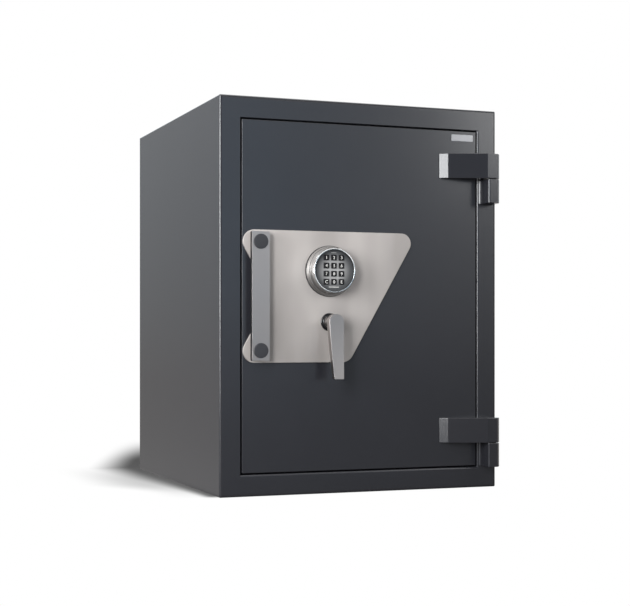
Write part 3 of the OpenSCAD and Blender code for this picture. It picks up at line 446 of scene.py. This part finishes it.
CHARCOAL = (0.0173, 0.0178, 0.0219)
finishes = {
    "body_paint": enamel("charcoal_body", CHARCOAL, 0.23),
    "door_paint": enamel("charcoal_door", CHARCOAL, 0.23),
    "barrier": cast("barrier_cast", (0.42, 0.40, 0.37), 0.85, 160, 600 * MICRON),
    "liner_paint": enamel("grey_liner", (0.26, 0.27, 0.29), 0.55, 120 * MICRON),
    "seal_rubber": moulded("seal_rubber", (0.018, 0.018, 0.020), 0.70, 40 * MICRON),
    "bare_steel": machined("bare_steel", (0.52, 0.53, 0.54), 0.30),
    "plated_steel": machined("zinc_plated", (0.50, 0.49, 0.44), 0.36, spread=0.14),
    "hard_steel": cast("hard_plate_scale", (0.16, 0.15, 0.14), 0.60, 300, 200 * MICRON, 1.0),
    "stainless": brushed("brushed_stainless", (0.362, 0.337, 0.322), 0.56,
                         spread=0.15, uneven=3.0, drawn=0.62),
    "dark_caps": moulded("cap_dark_grey", (0.019, 0.020, 0.024), 0.48),
    "black_plastic": moulded("black_plastic", (0.006, 0.006, 0.007), 0.16),
    "chrome": polished("housing_chrome", (0.535, 0.546, 0.551), 0.12),
    "key_rubber": moulded("key_black", (0.004, 0.004, 0.005), 0.55, gloss=0.25),
    "circuit_board": banded("board_green", (0.03, 0.13, 0.06), (0.04, 0.17, 0.08), 0.35, 400),
    "cells": banded("cell_sleeve", (0.02, 0.02, 0.02), (0.45, 0.30, 0.09), 0.30, 22),
    "cable": moulded("cable_black", (0.02, 0.02, 0.02), 0.50),
    "lock_zinc": cast("lock_die_cast", (0.42, 0.42, 0.42), 0.45, 500, 60 * MICRON, 1.0),
    "lock_brass": machined("lock_brass", (0.72, 0.55, 0.24), 0.28),
    "lever_zinc": brushed("satin_nickel", (0.256, 0.242, 0.238), 0.34),
    "keypad_plastic": keypad_print("keypad_face_grey", (0.035, 0.036, 0.038),
                                   (0.325, 0.325, 0.328)),
}
bar_rubber = moulded("bar_core_black", (0.006, 0.006, 0.007), 0.70, gloss=0.15)
bar_steel = brushed("bar_stainless", (0.396, 0.364, 0.352), 0.34)
key_print = moulded("key_print_white", (0.80, 0.80, 0.78), 0.45, 5 * MICRON)

own_finish = {"hinge_bearings": moulded("bearing_oiled", (0.010, 0.009, 0.008), 0.45)}
for part in frame["record"]["subparts"]:
    for slot in nodes[part["node"]].material_slots:
        slot.material = own_finish.get(part["node"], finishes[part["material_slot"]])


# Body

OPENING = (-263, 263, 44, 756)  # door opening: left, right, bottom, top
FRAME_WIDE, FRAME_DEEP = 44, 62  # section of the frame's bars
SEAL_OPENING = (-230, 230, 77, 723)


def frame_ring():
    """The welded frame: a flat bar section around the door opening. Its outer rim is a quarter of
    an ellipse; its inner rim is a small quarter circle, drawn out to an ellipse on the hinge side
    and the sill."""
    inner = np.concatenate([[(0, FRAME_DEEP), (0, 4.4)], arc(4, 4, 4, 180, 270, 9), [(4.4, 0)]])
    rim = arc(0, 3, 3, 270, 360, 9) * (2, 1) + (FRAME_WIDE - 6, 0)
    outer = np.concatenate([[(FRAME_WIDE - 6.4, 0)], rim,
                            [(FRAME_WIDE, 3.4), (FRAME_WIDE, FRAME_DEEP)]])
    small = np.concatenate([inner * (0.3, 1), outer])
    return around(small, *OPENING, lambda o: max(0.4, o - FRAME_WIDE + 3),
                  np.concatenate([inner, outer]))


piece("frame_ring", [frame_ring()], finishes["body_paint"], "body",
      ("frame_side_bars", "frame_cross_bars"))


def seal_strip():
    """Rubber strip around the inner opening: a foot with a round bulb towards the door."""
    bulb = arc(6, 108.2, 3.8, 180, 360, 14)
    section = np.concatenate([[(0, 112), (0, 110), (1.6, 109.4)], bulb,
                              [(10.4, 109.4), (12, 110), (12, 112)]])
    return around(section, *SEAL_OPENING, lambda o: 1 + o)


piece("door_seal_strip", [seal_strip()], finishes["seal_rubber"], "body",
      ("door_seal",))

PIN_X, PIN_OUT, KNUCKLE_R, HINGE_OUT = 281.0, 22.0, 20.5, 40.0
FRONT_ANGLE = math.degrees(math.asin((HINGE_OUT - PIN_OUT) / KNUCKLE_R))
STRAP_FEET, STRAP_TALL = (96.8, 652), 52
BLOCK_FEET, BLOCK_TALL = (45.6, 600.8), 50


def strap_plan():
    """Plan of a strap: foot on the door, round end about the pin, flat front, slope, and an end
    bevel that stops short of the door."""
    foot = [(174.0, 0), (257.5, 0), (257.5, 1.5)]
    end = arc(PIN_X, PIN_OUT, KNUCKLE_R, -90, FRONT_ANGLE, 24)
    slope = [(PIN_X, HINGE_OUT), (268, HINGE_OUT), (189.4, 12), (174, 1.4)]
    return np.concatenate([foot, end, rounded(slope, [0, 1.6, 1.4, 0], 4)[1:]])


def block_plan():
    """Plan of a block: straight right side, round right front, flat front, and a left side that
    flares into its weld at the foot."""
    end = arc(PIN_X, PIN_OUT, KNUCKLE_R, 0, FRONT_ANGLE, 12)
    left = [(PIN_X, HINGE_OUT), (270, HINGE_OUT), (270, 3.0), (267.4, 0)]
    return np.concatenate([[(PIN_X + KNUCKLE_R, 0)], end, rounded(left, [0, 4.0, 2.4, 0], 6)[1:]])


strap_rim = soft_edges(0, STRAP_TALL, 1.0, 1.0)
piece("hinge_strap_forgings", [prism(strap_plan(), strap_rim, upright(z)) for z in STRAP_FEET],
      finishes["door_paint"], "door", ("hinge_straps",))
block_rim = soft_edges(0, BLOCK_TALL, 1.0, 1.0)
piece("hinge_block_forgings", [prism(block_plan(), block_rim, upright(z)) for z in BLOCK_FEET],
      finishes["body_paint"], "body", ("hinge_blocks",))


# Door

DOOR_EDGES, DOOR_THICK = (-260, 260, 47, 753), 13
BAR_X, BAR_HALF, BAR_FOOT, BAR_HEAD, CAP_ZS = -228.0, 18.5, 271.8, 528.8, (291.8, 508.8)
BAR_BACK, BAR_SEAT, BAR_CORE, BAR_FACE = 11.6, 15, 21.4, 23  # layers of the pull bar, outwards
shank_holes = [circle(BAR_X, z, 5.4, 32) for z in CAP_ZS]
lock_holes = [circle(PAD_X, LEVER_Z, 12.5), circle(PAD_X, PAD_Z, 5.5, 32)]

piece("door_skin", [prism(rectangle(*DOOR_EDGES, 1.2, 4), soft_edges(-DOOR_THICK, 0, 0.6, 0.8),
                          holes=lock_holes)],
      finishes["door_paint"], "door", ("door_plate",))


def lock_plate_outline():
    """Outline of the lock plate: a V notch on its left, and a right edge that slants by 30
    degrees."""
    z0, z1, left, right, notch = 267.05, 533.55, -276.5, 123.0, -211.0
    slant = math.tan(math.radians(30))
    depth = (notch - left) / slant
    corners = [(left, z0), (right - (z1 - z0) * slant, z0), (right, z1), (left, z1),
               (notch, z1 - depth), (notch, z0 + depth)]
    return rounded(corners, [24, 27, 21, 24, 0, 0], 14)


piece("lock_plate", [prism(lock_plate_outline(), soft_edges(0, 3, 0.2, 0.5),
                           holes=lock_holes + shank_holes)],
      finishes["stainless"], "door", ("escutcheon_plate",))

bar_outline = rectangle(BAR_X - BAR_HALF, BAR_X + BAR_HALF, BAR_FOOT, BAR_HEAD, 1.6, 5)
pillar_holes = [circle(BAR_X, z, 11.2) for z in CAP_ZS]
piece("grip_bar_core",
      [prism(bar_outline, soft_edges(BAR_SEAT, BAR_CORE, 0.1, 0.1, 3), holes=shank_holes),
       prism(bar_outline, soft_edges(BAR_BACK, BAR_SEAT, 0.8, 0.1, 3), holes=pillar_holes)],
      bar_rubber, "door", ("pull_bar",))
piece("grip_bar_face",
      [prism(bar_outline, soft_edges(BAR_CORE, BAR_FACE, 0.1, 0.2), holes=shank_holes)],
      bar_steel, "door", ("pull_bar",))


def cap(z):
    """Cap bolt: shank, flat head with a soft rim and a faint dome."""
    shank = [(5, -9), (5, BAR_FACE), (14.6, BAR_FACE), (15, 23.3)]
    crown = [(13, 25.75), (9, 25.9), (4, 26)]
    return turned(np.concatenate([shank, arc(14, 24.7, 1.0, 0, 80, 5), crown]), BAR_X, z, 64)


piece("grip_bar_caps", [cap(z) for z in CAP_ZS], finishes["dark_caps"], "door",
      ("bar_caps",))


def keypad_bowl():
    """Keypad housing: undercut foot, steep band, groove, shoulder, straight neck, and a round lip
    over the face."""
    foot = [(5.5, 5), (49.6, 5), (49.6, 6.9), (50.7, 7), (51, 7.3)]
    band = [(50.9, 8), (49.2, 17.6), (49, 18)]
    groove = [(48.4, 18.2), (48.2, 18.5), (48.3, 18.9), (48.1, 19.4)]
    neck = [(45.9, 23.6), (45.5, 24.4), (45.3, 25.2), (45.2, 26), (45.2, 33)]
    lip = np.concatenate([arc(43.7, 33.5, 1.5, 0, 90, 8), arc(42.8, 34.5, 0.5, 95, 180, 5)])
    well = [(42.3, 32), (42.3, 8), (5.5, 8)]
    return turned(np.concatenate([foot, band, groove, neck, lip, well]), PAD_X, PAD_Z, 128,
                  closed=True)


piece("keypad_bowl", [keypad_bowl()], finishes["chrome"], "door", ("keypad_housing",),
      sharp=35)

KEY_BODIES = [f"key_{name}" for name in (*range(1, 10), "clear", 0, "enter")]
KEY_SIGNS = "123456789C0E"
KEY_STEP, KEY_HALF, WELL_HALF, KEY_OUT = 16.3, 5.5, 5.8, 31
SIGN_TALL, SIGN_OUT, SIGN_HALF = 6.2, 30.72, 0.08
key_spots = [(PAD_X + (i % 3 - 1) * KEY_STEP, PAD_Z + 2 + (1.5 - i // 3) * KEY_STEP)
             for i in range(12)]
wells = [rectangle(x - WELL_HALF, x + WELL_HALF, z - WELL_HALF, z + WELL_HALF, 0.8, 3)
         for x, z in key_spots]
piece("keypad_panel", [prism(circle(PAD_X, PAD_Z, 42, 96), soft_edges(25, 29, 0.2, 0.3, 3, 0.2),
                             holes=wells)],
      finishes["keypad_plastic"], "door", ("keypad_face",))


def key_cap(x, z):
    """Key: a rim that holds it behind the face, straight sides, a quarter-circle edge, and a
    shallow dish whose rings shrink towards the middle while their depth follows a parabola."""
    edge, dish = 0.8, 0.35
    a = np.linspace(0, np.pi / 2, 5)
    s = np.linspace(0.15, 1, 6)
    outline = rectangle(-KEY_HALF, KEY_HALF, -KEY_HALF, KEY_HALF, 1.3, 4)
    sides = inset(outline, [-1, -1, 0, *(edge * (1 - np.cos(a)))])
    rings = np.concatenate([sides, sides[-1] * (1 - 0.75 * s)[:, None, None]])
    out = np.concatenate([[23.4, 24.6, 24.6], KEY_OUT - edge * (1 - np.sin(a)),
                          KEY_OUT - dish * s * (2 - s)])
    return shell([front(x + rings[..., 0], z + rings[..., 1], out[:, None])])


def key_sign(name, letter, x, z):
    """Mesh of one sign, scaled to its height, centred on the key and laid in its dish."""
    curve = bpy.data.curves.new(name, "FONT")
    curve.body, curve.size, curve.extrude = letter, 1.0, 0.02
    mesh = bpy.data.meshes.new_from_object(bpy.data.objects.new(name + "_text", curve))
    mesh.name = name
    flat = np.empty(len(mesh.vertices) * 3)
    mesh.vertices.foreach_get("co", flat)
    p = flat.reshape(-1, 3)
    middle = (p[:, :2].max(0) + p[:, :2].min(0)) / 2
    q = (p[:, :2] - middle) * (SIGN_TALL / np.ptp(p[:, 1]))
    out = SIGN_OUT + np.sign(p[:, 2]) * SIGN_HALF
    mesh.vertices.foreach_set("co", front(x + q[:, 0], z + q[:, 1], out).ravel())
    return mesh


for body, letter, (x, z) in zip(KEY_BODIES, KEY_SIGNS, key_spots):
    piece(f"{body}_cap", [key_cap(x, z)], finishes["key_rubber"], body, (body,))
    dress(f"{body}_sign", key_sign(f"{body}_sign", letter, x, z), key_print, body)


def bush():
    """Plastic bush of the lever: two round beads, the inner one higher, about the bore."""
    beads = [arc(16.4, 3.6, 2.0, -15, 150, 10), arc(13.2, 6.4, 2.1, -40, 120, 10)]
    profile = np.concatenate([[(9.1, -13), (12.5, -13), (12.5, 3)], *beads,
                              [(11.6, 8.6), (9.1, 8.4)]])
    return turned(profile, PAD_X, LEVER_Z, closed=True)


piece("lever_bush_ring", [bush()], finishes["black_plastic"], "door",
      ("lever_bush",))


def lever_blade():
    """Lever from sections across it, stacked from its round top to its tip. Each section is a
    rectangle with round corners and flat sides. Its half width follows the round top, the taper
    and the small corners of the tip. Its front and back lean out more and more towards the tip,
    and draw in along a quarter circle at both ends. The edges get crisper down the blade."""
    head, corner, soft = 16, 1.6, 0.8
    top_z, tip_z = LEVER_Z + head, 234
    w = np.radians(np.linspace(86, 0, 22))
    top = np.stack([LEVER_Z + head * np.sin(w), head * np.cos(w)], -1)
    blade = np.stack([np.linspace(346, 236, 30), np.linspace(15.85, 10.22, 30)], -1)
    w = np.radians(np.linspace(0, 84, 10))
    tip = np.stack([tip_z + corner * (1 - np.sin(w)), 8.6 + corner * np.cos(w)], -1)
    z, half = np.concatenate([top, blade, tip]).T
    s = (top_z - z) / (top_z - tip_z)
    near = np.clip(soft - np.minimum(top_z - z, z - tip_z), 0, soft)
    draw = soft - np.sqrt(soft ** 2 - near ** 2)
    ahead = 45.1 + 14.6 * (0.45 * s + 0.55 * s ** 2) - draw
    behind = 28.8 + 18.8 * (0.55 * s + 0.45 * s ** 2) + draw
    edge = 0.9 - 0.55 * np.clip((s - 0.2) / 0.4, 0, 1)
    r = np.minimum(edge, np.minimum(half, (ahead - behind) / 2) * 0.98)[:, None]
    u = np.radians(np.add.outer([0, 90, 180, 270], [0, 0, 18, 36, 54, 72, 90, 90])).ravel()
    keep_flat = np.tile([-1, 0, 0, 0, 0, 0, 0, 1], 4) * np.minimum(0.4, half * 0.1)[:, None]
    side, way = np.repeat([1, -1, -1, 1], 8), np.repeat([1, 1, -1, -1], 8)
    x = PAD_X + side * (half[:, None] - r) + r * np.cos(u) - keep_flat * np.sin(u)
    middle, depth = ((ahead + behind) / 2)[:, None], ((ahead - behind) / 2)[:, None]
    out = middle + way * (depth - r) + r * np.sin(u) + keep_flat * np.cos(u)
    return shell([front(x, z[:, None], out)])


def lever_neck():
    """Round neck between bush and lever, with a small foot bead and a flare into the lever."""
    bead = [(9, 9.4), (12.6, 9.4), (13, 9.8), (13, 11), (12.7, 11.5)]
    flare = [(12.7, 28), (12.9, 31), (13, 34), (13, 38)]
    return turned(bead + flare, PAD_X, LEVER_Z, 64)


piece("lever_grip", [lever_blade(), lever_neck()], finishes["lever_zinc"], "lever",
      ("lever_handle",))

blank = prism(rectangle(203, 253, 732, 746, 1.5, 5), soft_edges(0, 0.8, 0.1, 0.3))
studs = [turned([(1.5, 0.5), (1.5, 0.9), (1.2, 1.3), (0.6, 1.5)], x, 739, 24)
         for x in (206.5, 249.5)]
piece("rating_plate_blank", [blank, *studs],
      brushed("smoked_nickel", (0.28, 0.28, 0.29), 0.42), "door")


def cover_screw(x, z):
    """Round-head screw with a hexagon socket, on the door's back cover."""
    head = [(5, -104), (5, -105.2), (4.7, -106), (4, -106.6), (3, -106.9)]
    socket = [(2.2, -106.9), (2, -106.7), (2, -105)]
    return turned(head + socket, x, z, 36, hexes=len(socket))


piece("cover_screws", [cover_screw(x, z) for x in (-215, 215) for z in (90, 270, 530, 710)],
      finishes["plated_steel"], "door")


# Studio, in metres

scene = bpy.context.scene
scene.view_settings.view_transform = "Standard"

camera = bpy.data.objects.new("camera", bpy.data.cameras.new("camera"))
scene.collection.objects.link(camera)
camera.location = (-1.1209, -2.9982, 0.3186)
camera.rotation_euler = (math.pi / 2, 0, math.radians(-20.85))
camera.data.sensor_width = 36
camera.data.lens = 80.39
camera.data.shift_y = 0.0541
scene.camera = camera


def softbox(name, place, target, width, height, radiance):
    """Area lamp that faces a target; its power is radiance x pi x area."""
    lamp = bpy.data.lights.new(name, "AREA")
    lamp.shape, lamp.size, lamp.size_y = "RECTANGLE", width, height
    lamp.energy = radiance * math.pi * width * height
    obj = bpy.data.objects.new(name, lamp)
    scene.collection.objects.link(obj)
    obj.location = place
    obj.rotation_euler = (Vector(target) - Vector(place)).to_track_quat("-Z", "Y").to_euler()


softbox("strip_left", (-1.70, -2.16, 0.96), (0.15, -0.33, 0.66), 0.55, 1.5, 22.5)
softbox("box_left", (-2.08, -1.29, 0.75), (-0.1, -0.33, 0.42), 0.9, 0.9, 15.0)
softbox("key_high", (-1.3, -2.0, 2.2), (0, -0.33, 0.4), 0.9, 0.9, 5.0)
softbox("panel_right", (0.90, -1.15, 1.02), (0.285, -0.33, 0.75), 0.45, 0.5, 3.4)
softbox("box_over", (0, -0.5, 3.0), (0, -0.1, 0), 2.0, 2.0, 0.8)

WHITE = (1, 1, 1, 1)
SIDE_X, FLOOR_HALF = -0.307, 30  # left side of the body, and half the floor's width


def studio_walls():
    """World around the object. The camera sees plain white, and light that isn't mirrored is even
    and dim. Gloss sees pale panels that are laid out by the direction it looks in: x to the right,
    y away from the front and z up. Those ahead of the door are a bright left wall, a right wall
    and a dim gap between them, of which the lower part is bluish."""
    world = bpy.data.worlds.new("studio")
    scene.world = world
    world.use_nodes = True
    f = Finish("studio", world.node_tree)
    direct, mirrored = f.seen()
    aim = f.node("ShaderNodeTexCoord", out="Generated")
    x, y, z = (f.axis(k, aim) for k in range(3))

    ahead = f.fade(y, -0.3, 0.0) * f.fade(z, 0.35, 0.50)
    lift = f.ramp(z, 0.0, 0.11)
    left_wall = f.band(x, 0.10, 0.24, 0.285, 0.40 - 0.06 * lift) * (2.0 - 0.85 * lift)
    right_wall = f.band(x, 0.39, 0.46, 0.60, 0.75) * (
        0.3 + 1.75 * f.ramp(z, -0.01, 0.14) + 0.9 * f.ramp(z, 0.13, 0.18))
    between = f.ramp(x, 0.0, 0.2) * (0.30 - 0.24 * lift + 0.35 * f.ramp(z, 0.15, 0.25))
    facing = ahead * (0.12 * lift + left_wall + right_wall + between)

    backdrop = f.ramp(y, -0.2, 0.3) * (0.62 + 0.38 * f.ramp(z, -0.05, 0.25)) * (
        0.92 + 0.26 * f.fade(x, -0.31, -0.22))
    behind = f.ramp(x, -0.17, -0.06) * f.ramp(y, 0.55, 0.85)
    beside = f.ramp(x, 0.80, 0.93) + f.fade(x, -0.54, -0.42) * f.fade(y, 0.0, 0.3)
    panels = (behind + beside) * (0.9 + 0.6 * f.ramp(z, 0.0, 0.4))
    ceiling = 2.5 * f.ramp(z, 0.55, 0.90)
    glow = 0.56 * backdrop + ceiling + panels + facing
    strength = direct + mirrored * glow + 0.10 * (1 - direct - mirrored)

    blue_ahead = ahead * f.band(z, -0.01, 0.06, 0.16, 0.26) * f.fade(x, 0.38, 0.46)
    blue_back = 0.12 * f.ramp(y, 0.0, 0.3) * f.ramp(z, -0.05, 0.10)
    cool = f.tint(mirrored * (blue_ahead + blue_back), WHITE, (0.62, 0.98, 1.30, 1))
    f.show(f.node("ShaderNodeBackground", None, {"Color": cool, "Strength": strength}),
           "ShaderNodeOutputWorld")


def floor_finish():
    """Pale floor: plain white further out. Near the object a painted shadow: masks laid out by
    floor position let a grey paint show, which also takes the lamps' real shadows. To the left of
    the body lie a dark core, which widens to the back, and a faint tail; narrow painted shades lie
    behind and to the right. Gloss sees the white in part, and more of it away from the door."""
    f = Finish("pale_floor")
    direct, mirrored = f.seen()
    x, y = f.axis(0), f.axis(1)
    left = SIDE_X - x

    # painted shadow: these masks are laid out by floor position, not cast by the lamps
    wide = 0.032 + 0.096 * f.ramp(y, -0.40, 0.50)
    core = f.fade(left + 0.33 * (y - 0.38).most(0.0), 0.08 * wide, wide) * f.fade(y, 0.55, 1.35)
    reach = 0.11 + 0.10 * f.ramp(y, -0.22, 0.02)
    tail = 0.44 * f.fade(left, 0.3 * reach, reach) * f.band(y, -0.36, -0.02, 0.08, 0.46)
    shade_left = (core + tail - core * tail) * f.ramp(y, -0.335, -0.29) * f.fade(x, -0.12, 0.10)
    shade_back = 0.9 * f.band(y, 0.0, 0.2, 0.33, 0.75) * f.band(x, -0.32, -0.24, 0.22, 0.36)
    shade_right = 0.8 * f.band(x, 0.0, 0.2, 0.30, 0.40) * f.band(y, -0.2, 0.05, 0.25, 0.40)
    shade = shade_left.most(shade_back).most(shade_right)

    beside = f.ramp(y, -0.5, 0.3).most(f.ramp(left, 0.0, 0.02))
    far_right = f.ramp(x, 0.31, 0.40) * f.ramp(y, -0.40, -0.20)
    far_back = f.ramp(y, 0.33, 0.45) * f.ramp(x, -0.30, -0.22)
    far_left = f.ramp(left, 0.35, 0.60) * f.fade(y, 0.3, 0.7)
    front_left = 0.5 * f.ramp(left, 0.0, 0.5) * f.fade(y, -1.0, -0.6)
    beyond = (far_right + far_back).least(1.0) + far_left + front_left
    share = direct * (1 - shade) + mirrored * (0.12 + 0.26 * beside + 0.55 * beyond)

    paint = f.node("ShaderNodeBsdfDiffuse", None, {"Color": (0.20, 0.20, 0.20, 1)})
    warm = f.tint(mirrored, WHITE, (1, 0.97, 0.96, 1))
    white = f.node("ShaderNodeEmission", None, {"Color": warm})
    return f.show(f.node("ShaderNodeMixShader", None, {0: share, 1: paint, 2: white}))


studio_walls()
corners = [(-FLOOR_HALF, -FLOOR_HALF, 0), (FLOOR_HALF, -FLOOR_HALF, 0),
           (FLOOR_HALF, FLOOR_HALF, 0), (-FLOOR_HALF, FLOOR_HALF, 0)]
mesh = bpy.data.meshes.new("floor")
mesh.from_pydata(corners, [], [(0, 1, 2, 3)])
mesh.materials.append(floor_finish())
floor = bpy.data.objects.new("floor", mesh)
scene.collection.objects.link(floor)
